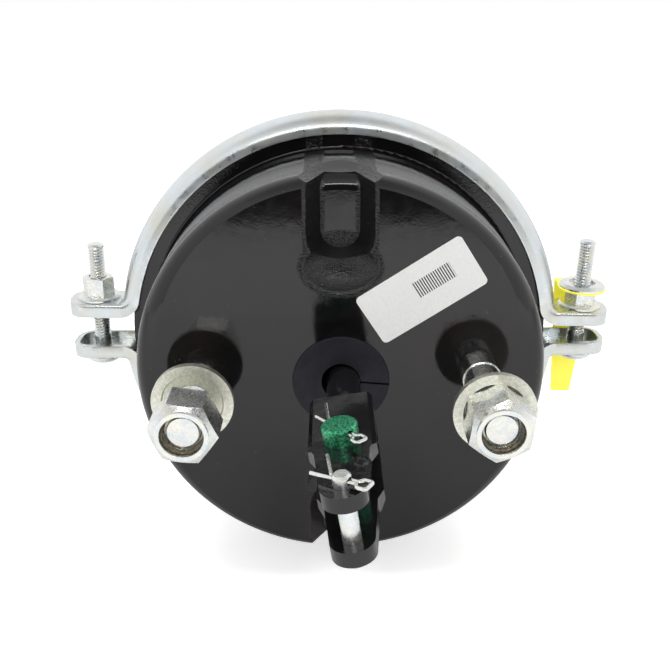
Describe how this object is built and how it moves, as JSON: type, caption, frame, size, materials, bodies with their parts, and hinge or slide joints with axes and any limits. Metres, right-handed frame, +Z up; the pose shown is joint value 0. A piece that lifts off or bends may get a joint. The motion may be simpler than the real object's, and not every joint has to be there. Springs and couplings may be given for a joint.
{
  "type": "air brake chamber",
  "caption": "Clamp-ring air brake chamber: two pressed housings, diaphragm, return spring, push rod with a pinned clevis and mounting studs.",
  "frame": {"origin": "Centre of the mounting face, on the chamber axis, midway between the two mounting studs", "axes": "-Y is the direction in which the push rod moves out, +X runs from the left stud to the right stud seen from the rod's end, +Z is up with the clamp bolts' threaded ends up"},
  "size_m": [0.2583, 0.2393, 0.2064],
  "materials": {
    "black_paint": "gloss",
    "zinc": "satin",
    "rod_steel": "satin",
    "green_zinc": "satin",
    "seal_rubber": "matt",
    "diaphragm_rubber": "matt",
    "spring_steel": "satin",
    "tag_yellow": "satin",
    "label_paper": "satin",
    "brass": "satin"
  },
  "bodies": {
    "chamber": {"non_pressure_housing": "black_paint", "pressure_housing": "black_paint", "clamp_ring_upper": "zinc", "clamp_ring_lower": "zinc", "clamp_bolt_left": "zinc", "clamp_bolt_right": "zinc", "clamp_nut_left": "zinc", "clamp_nut_right": "zinc", "tag_push_nut": "zinc", "stroke_tag": "tag_yellow", "mounting_stud_left": "zinc", "mounting_stud_right": "zinc", "mounting_nut_left": "zinc", "mounting_nut_right": "zinc", "mounting_washer_left": "zinc", "mounting_washer_right": "zinc", "stud_plate": "black_paint", "port_boss_left": "black_paint", "port_boss_right": "black_paint", "port_plug": "brass", "diaphragm": "diaphragm_rubber", "return_spring": "spring_steel", "label": "label_paper"},
    "rod_seal": {"rod_seal": "seal_rubber"},
    "push_rod": {"push_plate": "rod_steel", "push_rod": "black_paint", "clevis": "black_paint"},
    "large_pin": {"large_clevis_pin": "green_zinc", "large_cotter": "zinc"},
    "small_pin": {"small_clevis_pin": "zinc", "small_cotter": "zinc"}
  },
  "joints": [
    {"name": "rod_swivel", "type": "hinge", "parent": "chamber", "child": "rod_seal", "pos_m": [0, 0, 0], "axis": [0, -1, 0], "continuous": true},
    {"name": "push_rod_stroke", "type": "slide", "parent": "rod_seal", "child": "push_rod", "axis": [0, -1, 0], "range_m": [0, 0.0762], "stiffness_N_per_m": 1470, "springref_m": -0.109, "deforming": ["return_spring", "diaphragm"]},
    {"name": "large_pin_turn", "type": "hinge", "parent": "push_rod", "child": "large_pin", "pos_m": [0.00105, -0.0728, 0], "axis": [-0.1495, 0, 0.9888], "continuous": true},
    {"name": "small_pin_turn", "type": "hinge", "parent": "push_rod", "child": "small_pin", "pos_m": [0.00105, -0.1018, 0], "axis": [-0.1495, 0, 0.9888], "continuous": true}
  ]
}
